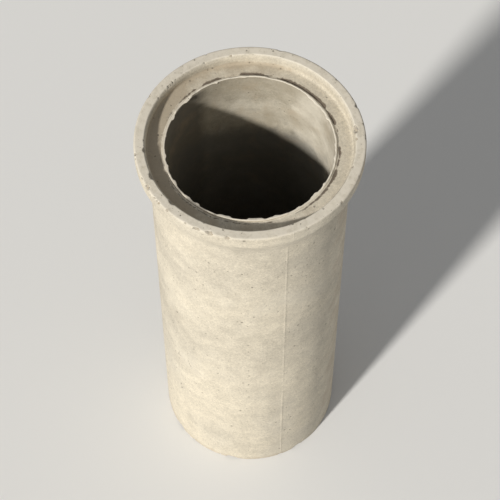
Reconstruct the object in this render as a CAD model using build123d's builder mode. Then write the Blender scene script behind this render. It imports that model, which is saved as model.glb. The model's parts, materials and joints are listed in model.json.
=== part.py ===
from build123d import *
import os

# Concrete sewer pipe, cast in one piece: a plain barrel with a bell at one end and a spigot at the other.
# The spigot is the barrel's own end, and it enters the socket in the bell of the next pipe.
# The pipe stands on its spigot with the bell's mouth up, so that it can't roll.
# Z runs up the pipe's axis, and the origin is on the floor, on that axis.

# Bore and barrel
bore_diameter = 800.0
wall = 80.0
laying_length = 2500.0  # from the spigot's end to the shoulder in the socket
spigot_round = 10.0  # worn outer edge of the spigot's end
bore_round = 6.0  # inner edge of the spigot's end

# Socket
joint_gap = 6.0  # between the spigot and the socket's seat, all round
socket_depth = 60.0  # from the bell's face to the shoulder
seat_length = 40.0  # from the shoulder to the lead-in
corner_round = 12.0  # where the seat meets the shoulder
lead_in = 8.0  # how far the mouth opens out above the seat
mouth_round = 6.0

# Lip that the bore's mould leaves around the bore, standing on the shoulder
lip_width = 11.0
lip_height = 8.0
lip_round = 5.0
lip_foot_round = 2.0

# Bell, outside
bell_wall = 59.0  # from the socket's seat to the bell's band
band_below_socket = 15.0  # how far the straight band runs on below the shoulder
flare_length = 140.0
rim_round = 10.0
band_blend = 80.0  # radius from the band into the flare
barrel_blend = 250.0  # radius from the flare into the barrel

# Radii
bore_radius = bore_diameter / 2
barrel_radius = bore_radius + wall
seat_radius = barrel_radius + joint_gap
mouth_radius = seat_radius + lead_in
bell_radius = seat_radius + bell_wall
lip_radius = bore_radius + lip_width

# Heights above the spigot's end
shoulder_height = laying_length
lip_crest = shoulder_height + lip_height
seat_top = shoulder_height + seat_length
face_height = shoulder_height + socket_depth
band_foot = shoulder_height - band_below_socket
flare_foot = band_foot - flare_length

# Half of the pipe's section: radius, height, and the rounding of that corner
section_corners = [
    (bore_radius, 0.0, bore_round),
    (barrel_radius, 0.0, spigot_round),
    (barrel_radius, flare_foot, barrel_blend),
    (bell_radius, band_foot, band_blend),
    (bell_radius, face_height, rim_round),
    (mouth_radius, face_height, mouth_round),
    (seat_radius, seat_top, 0.0),
    (seat_radius, shoulder_height, corner_round),
    (lip_radius, shoulder_height, lip_foot_round),
    (lip_radius, lip_crest, lip_round),
    (bore_radius, lip_crest, lip_round),
]

with BuildPart() as pipe:
    with BuildSketch(Plane.XZ):
        with BuildLine():
            section_points = [(radius, height) for radius, height, rounding in section_corners]
            section_roundings = [rounding for radius, height, rounding in section_corners]
            FilletPolyline(*section_points, radius=section_roundings, close=True)
        make_face()
    revolve(axis=Axis.Z)
pipe.part.label = "pipe"

os.makedirs("parts", exist_ok=True)
export_step(pipe.part, "parts/pipe.step")
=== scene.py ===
import json
from math import cos, pi, radians, sin
import bpy
import numpy as np
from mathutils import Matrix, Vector


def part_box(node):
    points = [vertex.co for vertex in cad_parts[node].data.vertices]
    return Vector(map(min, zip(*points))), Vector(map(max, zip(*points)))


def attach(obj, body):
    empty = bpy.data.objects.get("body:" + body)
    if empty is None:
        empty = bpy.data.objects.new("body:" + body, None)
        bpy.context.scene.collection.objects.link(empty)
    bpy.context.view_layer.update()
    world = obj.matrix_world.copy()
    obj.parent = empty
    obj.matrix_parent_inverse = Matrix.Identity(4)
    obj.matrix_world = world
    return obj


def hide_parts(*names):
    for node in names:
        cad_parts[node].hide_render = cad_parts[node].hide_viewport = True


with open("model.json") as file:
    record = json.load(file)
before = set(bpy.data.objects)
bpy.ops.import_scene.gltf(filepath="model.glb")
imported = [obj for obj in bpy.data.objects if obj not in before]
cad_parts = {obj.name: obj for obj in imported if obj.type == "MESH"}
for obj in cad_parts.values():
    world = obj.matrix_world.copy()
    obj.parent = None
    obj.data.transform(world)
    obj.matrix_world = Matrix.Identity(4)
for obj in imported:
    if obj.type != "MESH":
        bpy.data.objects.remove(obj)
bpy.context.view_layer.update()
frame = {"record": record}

# The casting: one pour of concrete, shaped by steel moulds into a plain barrel with a bell at the top
# and a spigot at the bottom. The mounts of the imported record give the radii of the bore, seat and barrel,
# the node's box gives the bell and the length, and the rest repeats the moulds' own sizes. All in metres.
mounts = {mount["name"]: mount for mount in frame["record"]["mounts"]}
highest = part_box("pipe")[1]
bore_radius = mounts["bore"]["dims"]["r_mm"] / 1000
barrel_radius = mounts["spigot"]["dims"]["r_mm"] / 1000
seat_radius = mounts["socket"]["dims"]["r_mm"] / 1000
bell_radius = highest.x
face_height = highest.z
socket_depth = 0.060
seat_length = 0.040
lead_in = 0.008
lip_width = 0.011
lip_height = 0.008
plate_gap = 0.010  # from the lip to the edge of the bore mould's end plate
band_below_socket = 0.015
flare_length = 0.140
mouth_radius = seat_radius + lead_in
lip_radius = bore_radius + lip_width
plate_radius = lip_radius + plate_gap
shoulder_height = face_height - socket_depth
lip_crest = shoulder_height + lip_height
band_foot = shoulder_height - band_below_socket
flare_foot = band_foot - flare_length

# Roundings of the section's corners
bore_round = 0.006
spigot_round = 0.010
barrel_blend = 0.250
band_blend = 0.080
rim_round = 0.010
mouth_round = 0.006
corner_round = 0.012
lip_foot_round = 0.002
lip_round = 0.005

# Corners of the half section, from the bore's foot round the outside: radius, height and rounding
section_corners = np.array([
    (bore_radius, 0.0, bore_round),
    (barrel_radius, 0.0, spigot_round),
    (barrel_radius, flare_foot, barrel_blend),
    (bell_radius, band_foot, band_blend),
    (bell_radius, face_height, rim_round),
    (mouth_radius, face_height, mouth_round),
    (seat_radius, shoulder_height + seat_length, 0.0),
    (seat_radius, shoulder_height, corner_round),
    (lip_radius, shoulder_height, lip_foot_round),
    (lip_radius, lip_crest, lip_round),
    (bore_radius, lip_crest, lip_round),
])

# Arrises and other fine edges, which the mesh is crowded towards: radius and height
arrises = {
    "bore_foot": (bore_radius, 0.0),
    "spigot_edge": (barrel_radius, 0.0),
    "rim": (bell_radius, face_height),
    "mouth": (mouth_radius, face_height),
    "seat_corner": (seat_radius, shoulder_height),
    "plate_edge": (plate_radius, shoulder_height),
    "lip_foot": (lip_radius, shoulder_height),
    "lip_outside": (lip_radius, lip_crest),
    "lip_inside": (bore_radius, lip_crest),
}


def rounded_outline(corners, steps):
    """Closed outline of the half section, with an arc for each rounded corner.

    The arc starts at rounding x tan(turn / 2) before the corner. Its centre lies the rounding away from
    that point, square to the side, and the points turn about the centre in equal steps."""
    place = corners[:, :2]
    rounding = corners[:, 2]
    leaving = np.roll(place, -1, axis=0) - place
    leaving /= np.linalg.norm(leaving, axis=1)[:, None]
    arriving = np.roll(leaving, 1, axis=0)
    turn = np.arctan2(
        arriving[:, 0] * leaving[:, 1] - arriving[:, 1] * leaving[:, 0], (arriving * leaving).sum(axis=1)
    )
    start = place - arriving * (rounding * np.tan(np.abs(turn) / 2))[:, None]
    to_left = np.stack([-arriving[:, 1], arriving[:, 0]], axis=1)
    centre = start + to_left * (rounding * np.sign(turn))[:, None]
    spoke = start - centre
    swing = turn[:, None] * np.linspace(0, 1, steps + 1)[None, :]
    points = centre[:, None, :] + np.stack([
        spoke[:, None, 0] * np.cos(swing) - spoke[:, None, 1] * np.sin(swing),
        spoke[:, None, 0] * np.sin(swing) + spoke[:, None, 1] * np.cos(swing),
    ], axis=2)
    return points.reshape(-1, 2)


def spaced_rings(outline, edges, closest, growth, widest):
    """Rings along the closed outline, crowded towards the arrises.

    The spacing is closest + growth x distance to the nearest arris, up to widest. Steps of one over the
    spacing are added up along the outline, and a ring stands at each whole number of that sum."""
    closed = np.vstack([outline, outline[:1]])
    along = np.concatenate([[0.0], np.cumsum(np.linalg.norm(np.diff(closed, axis=0), axis=1))])
    samples = 60000
    fine = np.linspace(0, along[-1], samples + 1)
    trace = np.stack([np.interp(fine, along, closed[:, k]) for k in (0, 1)], axis=1)
    away = np.linalg.norm(trace[:, None, :] - edges[None, :, :], axis=2).min(axis=1)
    spacing = np.minimum(closest + growth * away, widest)
    count = np.concatenate([[0.0], np.cumsum(np.diff(fine) / spacing[1:])])
    rings = int(round(count[-1]))
    stops = np.interp(np.arange(rings) * count[-1] / rings, count, fine)
    place = np.stack([np.interp(stops, fine, trace[:, k]) for k in (0, 1)], axis=1)
    ahead = np.roll(place, -1, axis=0) - np.roll(place, 1, axis=0)
    ahead /= np.linalg.norm(ahead, axis=1)[:, None]
    outward = np.stack([ahead[:, 1], -ahead[:, 0]], axis=1)
    return place, outward, np.interp(stops, fine, away)


def with_middles(angles):
    """Twice as many angles round the circle: the middle of each gap is put in, the last gap's too."""
    gap = np.diff(angles, append=angles[0] + 2 * pi)
    return np.stack([angles, angles + gap / 2], axis=1).ravel()


def lattice_noise(points, cell, seed):
    """Smooth random values from 0 to 1: one for each corner of a cubic lattice that repeats every 32 cells,
    blended inside a cube by the weight 3t^2 - 2t^3 along each axis."""
    repeat = 32
    corners = np.random.default_rng(seed).random((repeat, repeat, repeat))
    scaled = points / cell
    base = np.floor(scaled).astype(int)
    part = scaled - base
    weight = part * part * (3 - 2 * part)
    total = np.zeros(len(points))
    for step in np.ndindex(2, 2, 2):
        index = (base + step) % repeat
        share = np.where(step, weight, 1 - weight).prod(axis=1)
        total += share * corners[index[:, 0], index[:, 1], index[:, 2]]
    return total


def layered_noise(points, cell, layers, seed):
    """Sum of lattice noises, each at half the cell and 0.55 of the weight of the one before, from 0 to 1."""
    fading = 0.55
    weights = fading ** np.arange(layers)
    total = sum(w * lattice_noise(points, cell / 2**k, seed + k) for k, w in enumerate(weights))
    return total / weights.sum()


def smooth_step(value, low, high):
    """0 below low, 1 above high, and 3t^2 - 2t^3 between them."""
    t = np.clip((value - low) / (high - low), 0, 1)
    return t * t * (3 - 2 * t)


def chip_depths(theta, radius, count, widths, depths, seed):
    """How deep the chips bite at each angle: each chip is a hump (1 - x^2) of its own width and depth,
    set at a random angle, and the deepest chip counts."""
    rng = np.random.default_rng(seed)
    middle = rng.random(count) * 2 * pi
    half_width = rng.uniform(*widths, count) / 2
    depth = rng.uniform(*depths, count)
    apart = np.angle(np.exp(1j * (theta[:, None] - middle[None, :]))) * radius / half_width
    return (depth * np.clip(1 - apart**2, 0, None)).max(axis=1)


# The outer mould is in two halves, so the columns stand evenly round the pipe with five more at each of
# their two joints, in place of the even ones too close to them. The gaps between columns are halved near
# the bell and the spigot's end, and again close to an arris.
joint_angle = radians(-79)
joint_half_width = 0.0024
joint_margin = 0.012
joint_columns = np.array([-joint_margin, -joint_half_width, 0.0, joint_half_width, joint_margin])
joint_columns /= barrel_radius
joint_clearance = 1.5 * joint_columns.max()
column_count = 146
even_columns = 2 * pi * np.arange(column_count) / column_count


def from_mould_joint(angle):
    """Angle from the nearer of the two joints: half of the doubled angle, brought between -pi and pi."""
    return np.angle(np.exp(2j * (angle - joint_angle))) / 2


clear_of_joints = np.abs(from_mould_joint(even_columns)) > joint_clearance
first_joint = (joint_angle + joint_columns) % (2 * pi)
second_joint = (joint_angle + pi + joint_columns) % (2 * pi)
wide_columns = np.sort(np.concatenate([even_columns[clear_of_joints], first_joint, second_joint]))
middle_columns = with_middles(wide_columns)
close_columns = with_middles(middle_columns)
column_angles = [wide_columns, middle_columns, close_columns]

outline = rounded_outline(section_corners, steps=12)
ring_place, ring_normal, ring_away = spaced_rings(
    outline, np.array(list(arrises.values())), closest=0.0026, growth=0.17, widest=0.040
)
fine_reach = 0.030
middle_reach = 0.160
ring_level = (ring_away < middle_reach).astype(int) + (ring_away < fine_reach)
ring_columns = np.array([len(column_angles[level]) for level in ring_level])
ring_start = np.concatenate([[0], np.cumsum(ring_columns)[:-1]])
ring = np.repeat(np.arange(len(ring_columns)), ring_columns)
theta = np.concatenate([column_angles[level] for level in ring_level])
radius = ring_place[ring, 0]
height = ring_place[ring, 1]
across = np.stack([np.cos(theta), np.sin(theta)], axis=1)


def place_of(radius, height):
    """Points in space from radius and height at each vertex's own angle."""
    return np.stack([radius * across[:, 0], radius * across[:, 1], height], axis=1)


# Steel moulds are never quite true: the skin waves, always inwards from the true size, with its end flat
# on the floor. Paste that ran into the joints of the outer mould stands as a low ridge, broken off in places.
broad_wave = 0.0018
short_wave = 0.0007
flat_end = 0.010  # the wave dies out over this height above the floor
joint_ridge = 0.0012
least_ridge = 0.10  # share of the ridge that is left where it is broken off
slack = 0.004  # a vertex this close to a true radius or height counts as on that surface
hair = 0.001  # the same, where surfaces lie close together
skin = place_of(radius, height)
on_outside = (radius > barrel_radius - slack) & (ring_normal[ring, 0] > 0.5)
wave = broad_wave * layered_noise(skin, cell=0.55, layers=3, seed=11)
wave += short_wave * lattice_noise(skin, cell=0.11, seed=17)
wave *= smooth_step(height, low=0.0, high=flat_end)
from_joint = np.abs(from_mould_joint(theta)) * radius
unbroken = smooth_step(layered_noise(skin, cell=0.14, layers=3, seed=19), low=0.40, high=0.60)
ridge = joint_ridge * np.clip(1 - from_joint / joint_half_width, 0, None) * on_outside
ridge *= least_ridge + (1 - least_ridge) * unbroken
radius = radius - (wave - ridge) * ring_normal[ring, 0]
height = height - (wave - ridge) * ring_normal[ring, 1]

# The lip is the flash between bore mould and socket mould: it stands at uneven height, is broken away
# in places, and leaves thin fins over the bore's edge
least_lip = 0.42  # share of the lip's height where it is lowest
broken_away = 0.80  # share of that which is missing in the gaps
fin_reach = 0.008
raggedness = 0.004
round_the_bore = place_of(bore_radius, 0 * theta)
evenness = smooth_step(layered_noise(round_the_bore, cell=0.055, layers=3, seed=23), low=0.34, high=0.62)
gaps = smooth_step(lattice_noise(round_the_bore, cell=0.17, seed=31), low=0.72, high=0.78)
lip_share = (least_lip + (1 - least_lip) * evenness) * (1 - broken_away * gaps)
above_shoulder = np.clip(height - shoulder_height, 0, None)
on_lip = radius < lip_radius + hair
height = np.where(on_lip & (above_shoulder > 0), shoulder_height + above_shoulder * lip_share, height)
fin_noise = layered_noise(round_the_bore, cell=0.045, layers=3, seed=41)
fin = fin_reach * smooth_step(fin_noise, low=0.50, high=0.78)
near_bore_edge = on_lip & (height > shoulder_height - slack) & (radius < bore_radius + slack)
radius = np.where(near_bore_edge, radius - fin, radius)
ragged = raggedness * (layered_noise(round_the_bore, cell=0.035, layers=2, seed=47) - 0.5)
lip_outer_side = on_lip & (above_shoulder > hair) & (radius > lip_radius - slack)
radius = np.where(lip_outer_side, radius + ragged, radius)

# The bore mould's end plate leaves a shallow groove in the shoulder, a centimetre outside the lip. It wanders
# a little and is torn open in places, most of all towards the ground side, which the pipe lay on.
ground_side = 0.0
most_torn = ground_side + radians(35)
least_torn = 0.30
groove_depth = 0.0028
least_groove = 0.25  # share of the depth where nothing is torn
groove_half_width = 0.0045
wandering = 0.008
torn_side = smooth_step(np.cos(theta - most_torn), low=-0.35, high=0.55)
torn_noise = layered_noise(round_the_bore, cell=0.080, layers=4, seed=61)
torn_share = (least_torn + (1 - least_torn) * torn_side) * smooth_step(torn_noise, low=0.30, high=0.62)
wander = wandering * (layered_noise(round_the_bore, cell=0.030, layers=3, seed=67) - 0.5)
from_plate_edge = np.abs(radius + wander - plate_radius)
on_shoulder = (ring_normal[ring, 1] > 0.9) & (np.abs(height - shoulder_height) < slack) & ~on_lip
groove = groove_depth * (least_groove + (1 - least_groove) * torn_share)
height = height - groove * np.exp(-((from_plate_edge / groove_half_width) ** 2)) * on_shoulder

# Wear and knocks on the arrises. Each arris is cut back square to its bisector: a vertex nearer to the
# sharp corner than the cut, measured along the bisector, is moved in to it. The cut is the wear, or where it
# goes deeper a chip: its hump made gritty by noise, and shallower with the distance from the bisector.
# Arris, bisector into the concrete and crumble, then small and large chips: count, widths, depths
knocks = [
    ("rim", (-1, -1), 0.0030,
     (34, (0.010, 0.032), (0.005, 0.010)), (6, (0.035, 0.090), (0.009, 0.017))),
    ("mouth", (1, -1), 0.0022,
     (24, (0.008, 0.028), (0.004, 0.008)), (4, (0.030, 0.070), (0.007, 0.012))),
    ("spigot_edge", (-1, 1), 0.0040,
     (60, (0.012, 0.040), (0.006, 0.013)), (8, (0.050, 0.130), (0.010, 0.022))),
    ("bore_foot", (1, 1), 0.0022,
     (40, (0.010, 0.030), (0.004, 0.009)), (4, (0.030, 0.080), (0.008, 0.014))),
]
chip_reach = 0.045
least_wear = 0.0025
least_chip = 0.30  # share of a chip's depth that the grit leaves
grit_share = 1.3
chip_slope = 0.12
broken = np.zeros(len(theta))
for number, (name, bisector, crumble, small, large) in enumerate(knocks):
    corner_radius, corner_height = arrises[name]
    bisector_r, bisector_z = np.array(bisector) / np.sqrt(2)
    inward = (radius - corner_radius) * bisector_r + (height - corner_height) * bisector_z
    beside = np.abs((radius - corner_radius) * bisector_z - (height - corner_height) * bisector_r)
    near = np.hypot(radius - corner_radius, height - corner_height) < chip_reach
    here = place_of(radius, height)
    small_chips = chip_depths(theta, corner_radius, *small, seed=100 + number)
    large_chips = chip_depths(theta, corner_radius, *large, seed=200 + number)
    chips = np.maximum(small_chips, large_chips)
    grit = layered_noise(here, cell=0.022, layers=3, seed=300 + 10 * number)
    worn = least_wear + crumble * layered_noise(here, cell=0.030, layers=3, seed=400 + 10 * number)
    cut = np.maximum(worn, chips * (least_chip + grit_share * grit) - chip_slope * beside)
    bite = np.where(near, np.clip(cut - inward, 0, None), 0)
    radius = radius + bite * bisector_r
    height = height + bite * bisector_z
    deeper_than_wear = smooth_step(chips - worn, low=0.0005, high=0.0030)
    bitten = smooth_step(bite, low=0.0002, high=0.0015)
    broken = np.maximum(broken, np.where(near, deeper_than_wear * bitten, 0))

# On the broken faces the stones stand out by a millimetre or two
stone_relief = 0.0022
pitted = broken * stone_relief * layered_noise(place_of(radius, height), cell=0.012, layers=2, seed=71)
radius = radius - pitted * ring_normal[ring, 0]
height = height - pitted * ring_normal[ring, 1]

# What the finish reads from the vertices. Dust lies in the socket, with painted shade added on the crown
# side, where the rim's shadow falls, and thinned on the ground side as painted light. Grime and painted shade
# fill the groove, darkest where the lip's shadow falls. Bare paste shows on the rim's face, and a painted
# highlight of pale paste lies on the lip and between the lip and the groove. The bore has painted shade on
# the crown side near the lip and deep inside, and is limy on the ground side. Soil clings to the ground side
# outside.
foot_dust = 0.50
corner_dust = 0.30
# Painted shade: extra dust on the crown side, where the rim's shadow lies in the socket
crown_dust_and_shade = 0.34
# Painted light: the dust thins on the ground side, where the light falls in the socket
dust_thinned_where_lit = 0.60  # share of the dust that is gone on the ground side
corner_reach = 0.012
face_paste = 0.62
# Painted highlight: a pale strip on the shoulder between the lip and the groove, as if lit
shoulder_highlight = 0.60
# Painted shade with some grime: the groove's dark line is strongest on the side where the lip's shadow falls
least_dirt_and_shade = 0.38
bore_lime = 0.72
ground_soil = 0.62
foot_soil = 0.80
foot_reach = 0.05
worn_reach = 0.012
dirt_and_shade_half_width = 0.005
torn_widening = 0.008
edge_overlap = 0.002
to_seat_corner = np.hypot(radius - seat_radius, height - shoulder_height)
from_worn_arris = np.min([
    np.hypot(radius - arrises[name][0], height - arrises[name][1]) for name, *_ in knocks
], axis=0)
from_groove = from_plate_edge / (dirt_and_shade_half_width + torn_widening * torn_share)
towards_ground = np.cos(theta - ground_side)
crown_side = smooth_step(-towards_ground, low=0.0, high=0.80)
washed_side = smooth_step(towards_ground, low=0.30, high=0.90)
soiled_side = smooth_step(towards_ground, low=0.35, high=1.0)
in_socket = (height > shoulder_height - edge_overlap) & (radius < mouth_radius)
in_bore = radius < bore_radius + slack
on_face = (ring_normal[ring, 1] > 0.8) & (radius > mouth_radius - slack)
dust_and_shade = foot_dust * (1 - smooth_step(above_shoulder, low=0.004, high=0.034))
dust_and_shade += corner_dust * np.exp(-to_seat_corner / corner_reach)
# painted shade on the crown side, where the rim's shadow falls
dust_and_shade += crown_dust_and_shade * smooth_step(-towards_ground, low=0.40, high=0.95)
# painted light: less dust on the lit ground side
dust_and_shade *= 1 - dust_thinned_where_lit * washed_side
# Painted highlight: the lip's crest is paler, as if lit, besides its bare paste
lip_paste_and_highlight = on_lip * smooth_step(above_shoulder, low=hair, high=0.004)
inside_groove = on_shoulder * smooth_step(plate_radius - radius, low=hair, high=0.005)
dressing = {
    "broken": broken,
    "arris": smooth_step(worn_reach - from_worn_arris, low=0.0, high=0.010),
    # bare paste on the rim's face, and painted highlight on the lip and the shoulder strip
    "paste_and_highlight": np.max([lip_paste_and_highlight, face_paste * on_face, shoulder_highlight * inside_groove], axis=0),
    # dust in the socket, with painted shade on the crown side and painted light on the ground side
    "dust_and_shade": in_socket * dust_and_shade,
    # painted shade and grime in the groove, darkest where the lip casts its shadow
    "groove_dirt_and_shade": on_shoulder * (least_dirt_and_shade + (1 - least_dirt_and_shade) * torn_share) * np.exp(-(from_groove**2)),
    # painted shade deep inside the bore, darkest far from both ends
    "depth_shade": in_bore * smooth_step(np.minimum(lip_crest - height, height), low=0.03, high=0.75),
    # painted shade on the bore's crown side near the lip, where the bore lies in shadow
    "crown_shade": in_bore * crown_side * smooth_step(lip_crest - height, low=0.0, high=0.03),
    "lime": bore_lime * in_bore * washed_side * smooth_step(height, low=0.0, high=1.2),
    "soil": on_outside * np.maximum(ground_soil * soiled_side, foot_soil * np.exp(-height / foot_reach)),
}

# Faces: four-sided between rings of equal columns, five-sided where the columns halve or double. Those of the
# bore's wall, up to the lip, get the bore's own finish.
faces = []
bore_faces = []
for lower in range(len(ring_columns)):
    upper = (lower + 1) % len(ring_columns)
    below, above = ring_columns[lower], ring_columns[upper]
    j = np.arange(min(below, above))
    k = (j + 1) % min(below, above)
    middle_radius, middle_height = (ring_place[lower] + ring_place[upper]) / 2
    in_the_bore = middle_radius < bore_radius + edge_overlap and middle_height < lip_crest - edge_overlap
    bore_faces += [int(in_the_bore)] * len(j)
    first, second = ring_start[lower], ring_start[upper]
    if below == above:
        corners = [first + j, first + k, second + k, second + j]
    elif below > above:
        corners = [first + 2 * j, first + 2 * j + 1, first + (2 * j + 2) % below, second + k, second + j]
    else:
        corners = [first + j, first + k, second + (2 * j + 2) % above, second + 2 * j + 1, second + 2 * j]
    faces += np.stack(corners, axis=1).tolist()
pipe_mesh = bpy.data.meshes.new("pipe_casting")
pipe_mesh.from_pydata(place_of(radius, height), [], faces)
pipe_mesh.polygons.foreach_set("use_smooth", np.ones(len(faces), bool))
for name, value in dressing.items():
    pipe_mesh.attributes.new(name, "FLOAT", "POINT").data.foreach_set("value", value.astype(np.float32))
pipe_casting = bpy.data.objects.new("pipe_casting", pipe_mesh)
bpy.context.scene.collection.objects.link(pipe_casting)
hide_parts("pipe")
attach(pipe_casting, "root")

# The concrete itself: pale cement with fine sand, clouded by uneven drying, pitted by air trapped at the
# mould, dusty in the socket, darker and blotched inside the bore, and showing its stones where it is broken.
# Painted shade darkens the socket's crown side, the groove and the bore deep inside, and painted highlights
# pale the lip.
# All patterns are in metres on Object coordinates. Heights are metres too, so each bump is true to size.


def node(tree, kind, inputs=None, **settings):
    """Adds a shader node, links or sets its inputs by name or number, and returns the node."""
    made = tree.nodes.new("ShaderNode" + kind)
    for name, value in settings.items():
        setattr(made, name, value)
    for name, value in (inputs or {}).items():
        if isinstance(value, bpy.types.NodeSocket):
            tree.links.new(value, made.inputs[name])
        else:
            made.inputs[name].default_value = value
    return made


def maths(tree, operation, *values):
    """The result of one Math node."""
    return node(tree, "Math", dict(enumerate(values)), operation=operation).outputs[0]


def ramp(tree, value, low, high, bottom=0.0, top=1.0):
    """Value low gives bottom, high gives top, smooth between them and level outside."""
    inputs = {"Value": value, "From Min": low, "From Max": high, "To Min": bottom, "To Max": top}
    return node(tree, "MapRange", inputs, interpolation_type="SMOOTHSTEP").outputs[0]


def tint(tree, factor, under, over, mode="MIX"):
    """Colour over laid on colour under by factor."""
    made = node(tree, "Mix", {0: factor, 6: under, 7: over}, data_type="RGBA", blend_type=mode)
    return made.outputs[2]


def shaded(tree, factor, colour, shade):
    """Colour times the grey value shade, by factor."""
    grey = node(tree, "CombineColor", {0: shade, 1: shade, 2: shade}).outputs[0]
    return tint(tree, factor, colour, grey, "MULTIPLY")


def noise(tree, place, per_metre, detail=3.0, roughness=0.55, distortion=0.0):
    """Noise with this many features a metre, about 0 to 1."""
    inputs = {"Vector": place, "Scale": per_metre, "Detail": detail, "Roughness": roughness}
    return node(tree, "TexNoise", {**inputs, "Distortion": distortion}).outputs[0]


def stretched(tree, place, scale):
    """Object coordinates scaled along X, Y and Z."""
    return node(tree, "Mapping", {"Vector": place, "Scale": scale}).outputs[0]


def effect(name, inputs, outputs):
    """An empty node group with these sockets: name, kind and start value."""
    tree = bpy.data.node_groups.new(name, "ShaderNodeTree")
    for label, kind, start in inputs:
        socket = tree.interface.new_socket(label, in_out="INPUT", socket_type="NodeSocket" + kind)
        if start is not None:
            socket.default_value = start
    for label, kind in outputs:
        tree.interface.new_socket(label, in_out="OUTPUT", socket_type="NodeSocket" + kind)
    return tree, tree.nodes.new("NodeGroupInput").outputs, tree.nodes.new("NodeGroupOutput").inputs


def placed(tree, group, inputs):
    """The outputs of a node group placed in a material."""
    return node(tree, "Group", inputs, node_tree=group).outputs


# Cement tone: broad clouds between a pale and a deep colour, then mottle, speckle and sand grain
cement_tone, given, made = effect(
    "cement_tone",
    inputs=[
        ("Place", "Vector", None),
        ("Pale", "Color", (0.6, 0.55, 0.45, 1)),
        ("Deep", "Color", (0.4, 0.37, 0.3, 1)),
        ("Clouding", "Float", 0.5),
        ("Mottle", "Float", 0.5),
    ],
    outputs=[("Color", "Color"), ("Height", "Float")],
)
mottle_relief = 0.0018
grain_relief = 0.0006
clouds = noise(cement_tone, given["Place"], per_metre=1.6, detail=5, roughness=0.55, distortion=0.5)
cloud_share = maths(cement_tone, "MULTIPLY", ramp(cement_tone, clouds, 0.36, 0.66), given["Clouding"])
clouded = tint(cement_tone, cloud_share, given["Pale"], given["Deep"])
mottle = noise(cement_tone, given["Place"], per_metre=13, detail=4, roughness=0.60)
mottle_shade = ramp(cement_tone, mottle, 0.28, 0.72, bottom=0.88, top=1.08)
mottled = shaded(cement_tone, given["Mottle"], clouded, mottle_shade)
speckle = noise(cement_tone, given["Place"], per_metre=95, detail=4, roughness=0.70)
speckle_shade = ramp(cement_tone, speckle, 0.30, 0.70, bottom=0.80, top=1.13)
speckled = shaded(cement_tone, given["Mottle"], mottled, speckle_shade)
grain = noise(cement_tone, given["Place"], per_metre=260, detail=4, roughness=0.70)
grain_shade = ramp(cement_tone, grain, 0.20, 0.80, bottom=0.84, top=1.14)
grained = shaded(cement_tone, 1.0, speckled, grain_shade)
mottle_height = maths(cement_tone, "MULTIPLY", mottle, mottle_relief)
grained_height = maths(cement_tone, "MULTIPLY_ADD", grain, grain_relief, mottle_height)
cement_tone.links.new(grained, made["Color"])
cement_tone.links.new(grained_height, made["Height"])

# Air holes: in some cells, more of them where the paste was stiff, a round pit of the cell's own size,
# sunk by 0.8 of its radius
air_holes, given, made = effect(
    "air_holes",
    inputs=[
        ("Place", "Vector", None),
        ("Cells a metre", "Float", 40.0),
        ("Largest", "Float", 0.1),
        ("Share", "Float", 0.3),
    ],
    outputs=[("Mask", "Float"), ("Height", "Float")],
)
pit_sinking = -0.8
cells = node(air_holes, "TexVoronoi", {"Vector": given["Place"], "Scale": given["Cells a metre"]}).outputs
chance = node(air_holes, "SeparateColor", {0: cells["Color"]}).outputs
size_share = ramp(air_holes, chance[0], 0.0, 1.0, bottom=0.3, top=1.0)
pit_size = maths(air_holes, "MULTIPLY", given["Largest"], size_share)
depth_in = maths(air_holes, "SUBTRACT", pit_size, cells["Distance"])
stiffness = noise(air_holes, cells["Position"], per_metre=3.4, detail=3, roughness=0.60)
share_of_stiff = ramp(air_holes, stiffness, 0.44, 0.66, bottom=0.16, top=1.0)
share_here = maths(air_holes, "MULTIPLY", given["Share"], share_of_stiff)
present = maths(air_holes, "LESS_THAN", chance[1], share_here)
pit = maths(air_holes, "MULTIPLY", ramp(air_holes, depth_in, 0.0, 0.03), present)
pit_radius = maths(air_holes, "DIVIDE", pit_size, given["Cells a metre"])
pit_depth = maths(air_holes, "MULTIPLY", maths(air_holes, "MULTIPLY", pit, pit_radius), pit_sinking)
air_holes.links.new(pit, made["Mask"])
air_holes.links.new(pit_depth, made["Height"])

# Broken concrete: rounded stones of about a centimetre in a sandy binder
broken_stone, given, made = effect(
    "broken_stone",
    inputs=[("Place", "Vector", None)],
    outputs=[("Color", "Color"), ("Height", "Float")],
)
stones_per_metre = 85.0
stone_height = 0.0015
binder_relief = 0.0012
stone_cells = {"Vector": given["Place"], "Scale": stones_per_metre, "Randomness": 0.9}
stones = node(broken_stone, "TexVoronoi", stone_cells).outputs
kind_of_stone = node(broken_stone, "SeparateColor", {0: stones["Color"]}).outputs
stone_colour = tint(broken_stone, kind_of_stone[0], (0.34, 0.32, 0.29, 1), (0.56, 0.47, 0.34, 1))
is_stone = ramp(broken_stone, stones["Distance"], 0.38, 0.50, bottom=1.0, top=0.0)
binder = noise(broken_stone, given["Place"], per_metre=300, detail=4, roughness=0.70)
binder_colour = tint(broken_stone, binder, (0.36, 0.32, 0.25, 1), (0.58, 0.52, 0.42, 1))
broken_colour = tint(broken_stone, is_stone, binder_colour, stone_colour)
standing_out = maths(broken_stone, "MULTIPLY", is_stone, stone_height)
broken_height = maths(broken_stone, "MULTIPLY_ADD", binder, binder_relief, standing_out)
broken_stone.links.new(broken_colour, made["Color"])
broken_stone.links.new(broken_height, made["Height"])

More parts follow.
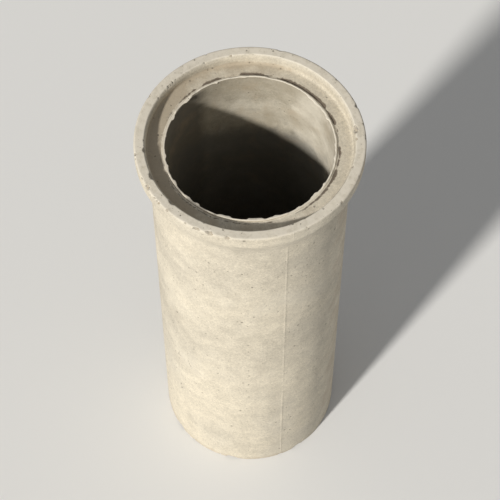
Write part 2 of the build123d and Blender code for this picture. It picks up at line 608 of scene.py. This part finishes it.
# Stain and painted shade alike: a colour laid on by a mask that is torn at its edge by noise. A mask of 0.5
# gives scattered patches, and one of 0.9 a whole coat.
torn_stain_and_shade, given, made = effect(
    "torn_stain_and_shade",
    inputs=[
        ("Place", "Vector", None),
        ("Color", "Color", (0.6, 0.55, 0.45, 1)),
        ("Laid colour", "Color", (0.2, 0.15, 0.1, 1)),
        ("Mask", "Float", 0.0),
        ("Features a metre", "Float", 12.0),
        ("Strength", "Float", 0.5),
    ],
    outputs=[("Color", "Color")],
)
torn = noise(torn_stain_and_shade, given["Place"], given["Features a metre"], detail=7, roughness=0.62, distortion=0.3)
reach = maths(torn_stain_and_shade, "SUBTRACT", maths(torn_stain_and_shade, "ADD", given["Mask"], torn), 1.0)
laid = maths(torn_stain_and_shade, "MULTIPLY", ramp(torn_stain_and_shade, reach, -0.16, 0.22), given["Strength"])
torn_stain_and_shade.links.new(tint(torn_stain_and_shade, laid, given["Color"], given["Laid colour"]), made["Color"])


def attribute(tree, name):
    """A value stored on the casting's vertices."""
    return node(tree, "Attribute", attribute_name=name).outputs["Fac"]


# Colours of the concrete and of what lies on it, and of the shade and highlights painted on it
lime_bloom = (0.76, 0.71, 0.60)
white_lime = (0.80, 0.75, 0.64)
# colour of bare paste and of the painted highlight on the lip
bare_paste_and_highlight = (0.79, 0.73, 0.62)
worn_paste = (0.76, 0.71, 0.60)
grey_cloud = (0.45, 0.40, 0.32)
dark_blotch = (0.36, 0.315, 0.235)
# colour of the painted shade on the bore's crown side
crown_shade_colour = (0.14, 0.126, 0.098)
# colour of the painted shade deep in the bore
depth_shade_colour = (0.15, 0.143, 0.124)
# colour of the socket's dust and of the painted shade on its crown side
brown_dust_and_shade = (0.40, 0.330, 0.235)
brown_soil = (0.42, 0.335, 0.235)
# colour of the painted shade and grime in the groove
black_dirt_and_shade = (0.105, 0.076, 0.051)
rusty_trace = (0.40, 0.25, 0.14)
ochre_trace = (0.42, 0.31, 0.19)
pit_shade = (0.19, 0.165, 0.13)
pit_darkening = 0.6


def concrete_surface(name, pale, deep, clouding, mottle, holes, bands, stains_and_shades):
    """One finish of the casting: its cement tone, air holes, mould bands, stains, painted shade and painted
    highlights, with broken arrises.

    Holes are (cells a metre, largest share of a cell, share of cells) for each size of pit. Bands are
    (features a metre, how far they darken, height). Stains and shades are (mask, features a metre, colour,
    strength): real stains, painted shade and painted highlights alike, laid in that order, and a mask is the
    name of a vertex value or a number."""
    material = bpy.data.materials.new(name)
    material.use_nodes = True
    tree = material.node_tree
    shader = tree.nodes["Principled BSDF"]
    place = node(tree, "TexCoord").outputs["Object"]
    tone = placed(tree, cement_tone, {
        "Place": place, "Pale": (*pale, 1), "Deep": (*deep, 1), "Clouding": clouding, "Mottle": mottle
    })
    colour, relief = tone["Color"], tone["Height"]
    for per_metre, darkening, band_height in bands:
        level_place = stretched(tree, place, (0.20, 0.20, 1.0))
        rings = noise(tree, level_place, per_metre, detail=4, roughness=0.55)
        band_shade = ramp(tree, rings, 0.30, 0.70, bottom=1 - darkening, top=1 + darkening / 2)
        colour = shaded(tree, 1.0, colour, band_shade)
        relief = maths(tree, "MULTIPLY_ADD", rings, band_height, relief)
    for mask, per_metre, laid_colour, strength in stains_and_shades:
        source = attribute(tree, mask) if isinstance(mask, str) else mask
        colour = placed(tree, torn_stain_and_shade, {
            "Place": place, "Color": colour, "Laid colour": (*laid_colour, 1), "Mask": source,
            "Features a metre": per_metre, "Strength": strength,
        })["Color"]
    for per_metre, largest, share in holes:
        sizes = {"Cells a metre": per_metre, "Largest": largest, "Share": share}
        pits = placed(tree, air_holes, {"Place": place, **sizes})
        colour = tint(tree, maths(tree, "MULTIPLY", pits["Mask"], pit_darkening), colour, (*pit_shade, 1))
        relief = maths(tree, "ADD", relief, pits["Height"])
    scuffs = noise(tree, place, per_metre=40, detail=5, roughness=0.60)
    scuffed = ramp(tree, scuffs, 0.35, 0.60, bottom=0.15, top=0.55)
    worn_share = maths(tree, "MULTIPLY", attribute(tree, "arris"), scuffed)
    colour = tint(tree, worn_share, colour, (*worn_paste, 1))
    stone = placed(tree, broken_stone, {"Place": place})
    is_broken = ramp(tree, attribute(tree, "broken"), 0.15, 0.70)
    colour = tint(tree, is_broken, colour, stone["Color"])
    relief = maths(tree, "MULTIPLY_ADD", is_broken, stone["Height"], relief)
    tree.links.new(colour, shader.inputs["Base Color"])
    tree.links.new(ramp(tree, relief, 0.0, 0.003, bottom=0.96, top=0.84), shader.inputs["Roughness"])
    bump = node(tree, "Bump", {"Strength": 1.0, "Distance": 1.0, "Height": relief})
    tree.links.new(bump.outputs[0], shader.inputs["Normal"])
    return material


cast_skin = concrete_surface(
    "cast_skin",
    pale=(0.68, 0.615, 0.49), deep=(0.52, 0.475, 0.39), clouding=0.7, mottle=0.8,
    holes=[(17, 0.125, 0.9), (34, 0.18, 1.0), (85, 0.20, 0.7)],
    bands=[(5.0, 0.035, 0.0010), (30.0, 0.02, 0.0004)],
    stains_and_shades=[
        (0.40, 1.9, lime_bloom, 0.45),
        (0.30, 4.0, grey_cloud, 0.40),
        # dust in the socket, mixed with painted shade on the crown side
        ("dust_and_shade", 11.0, brown_dust_and_shade, 0.72),
        ("soil", 9.0, brown_soil, 0.45),
        # painted shade and grime along the groove
        ("groove_dirt_and_shade", 60.0, black_dirt_and_shade, 0.88),
        # bare paste on the rim's face, with painted highlight on the lip and the shoulder strip
        ("paste_and_highlight", 30.0, bare_paste_and_highlight, 0.80),
        (0.20, 8.0, rusty_trace, 0.50),
    ],
)
bore_skin = concrete_surface(
    "bore_skin",
    pale=(0.485, 0.435, 0.34), deep=(0.36, 0.325, 0.25), clouding=0.9, mottle=1.0,
    holes=[(26, 0.13, 0.8), (80, 0.18, 0.6)],
    bands=[(9.0, 0.08, 0.0010), (46.0, 0.06, 0.0006)],
    stains_and_shades=[
        (0.50, 3.4, lime_bloom, 0.60),
        ("lime", 7.0, white_lime, 0.50),
        (0.50, 4.6, dark_blotch, 0.80),
        # painted shade on the bore's crown side near the lip
        ("crown_shade", 4.0, crown_shade_colour, 0.86),
        # painted shade deep inside the bore
        ("depth_shade", 5.0, depth_shade_colour, 0.75),
        (0.36, 8.0, ochre_trace, 0.45),
    ],
)
pipe_mesh.materials.append(cast_skin)
pipe_mesh.materials.append(bore_skin)
pipe_mesh.polygons.foreach_set("material_index", bore_faces)

# Plain studio: a pale floor, one key light from the left and in front, and an even pale surround, which the
# camera sees as pale as the floor.
floor_size = 60.0
half = floor_size / 2
floor_corners = [(-half, -half, 0), (half, -half, 0), (half, half, 0), (-half, half, 0)]
floor_mesh = bpy.data.meshes.new("studio_floor")
floor_mesh.from_pydata(floor_corners, [], [(0, 1, 2, 3)])
floor = bpy.data.objects.new("studio_floor", floor_mesh)
bpy.context.scene.collection.objects.link(floor)
floor_paint = bpy.data.materials.new("floor_paint")
floor_paint.use_nodes = True
floor_shader = floor_paint.node_tree.nodes["Principled BSDF"]
floor_shader.inputs["Base Color"].default_value = (0.80, 0.80, 0.79, 1)
floor_shader.inputs["Roughness"].default_value = 0.9
floor_mesh.materials.append(floor_paint)

surround_light = 0.28
surround_seen = 0.68
world = bpy.data.worlds.new("studio_surround")
bpy.context.scene.world = world
world.use_nodes = True
background = world.node_tree.nodes["Background"]
background.inputs["Color"].default_value = (0.97, 0.975, 0.98, 1)
seen = node(world.node_tree, "LightPath").outputs["Is Camera Ray"]
strength = maths(world.node_tree, "MULTIPLY_ADD", seen, surround_seen - surround_light, surround_light)
world.node_tree.links.new(strength, background.inputs["Strength"])


def direction_to(azimuth, elevation):
    """Unit vector from the pipe towards a place, with azimuth 0 in front of it, at -Y, and 90 degrees at +X:
    (sin azimuth x cos elevation, -cos azimuth x cos elevation, sin elevation)."""
    level = cos(elevation)
    return Vector((sin(azimuth) * level, -cos(azimuth) * level, sin(elevation)))


key_azimuth = radians(-50)
key_height = radians(30)
key = bpy.data.lights.new("key", "SUN")
key.energy = 3.45
key.angle = radians(4.5)
key.color = (1.0, 0.97, 0.92)
key_object = bpy.data.objects.new("key", key)
key_object.rotation_mode = "QUATERNION"
key_object.rotation_quaternion = direction_to(key_azimuth, key_height).to_track_quat("Z", "Y")
bpy.context.scene.collection.objects.link(key_object)

# Camera: the photograph looks into the mouth from 34 degrees off the pipe's axis and 8.6 m from the rim.
# The pipe stands, so the camera keeps that angle by looking down.
view_azimuth = radians(-10.5)
view_elevation = radians(56)
rim_distance = 8.56
aim_height = 1.55
camera_place = Vector((0, 0, face_height)) + rim_distance * direction_to(view_azimuth, view_elevation)
lens = bpy.data.cameras.new("camera")
lens.lens = 132
camera = bpy.data.objects.new("camera", lens)
camera.location = camera_place
camera.rotation_mode = "QUATERNION"
camera.rotation_quaternion = (camera_place - Vector((0, 0, aim_height))).to_track_quat("Z", "Y")
bpy.context.scene.collection.objects.link(camera)
bpy.context.scene.camera = camera
bpy.context.scene.view_settings.view_transform = "Standard"
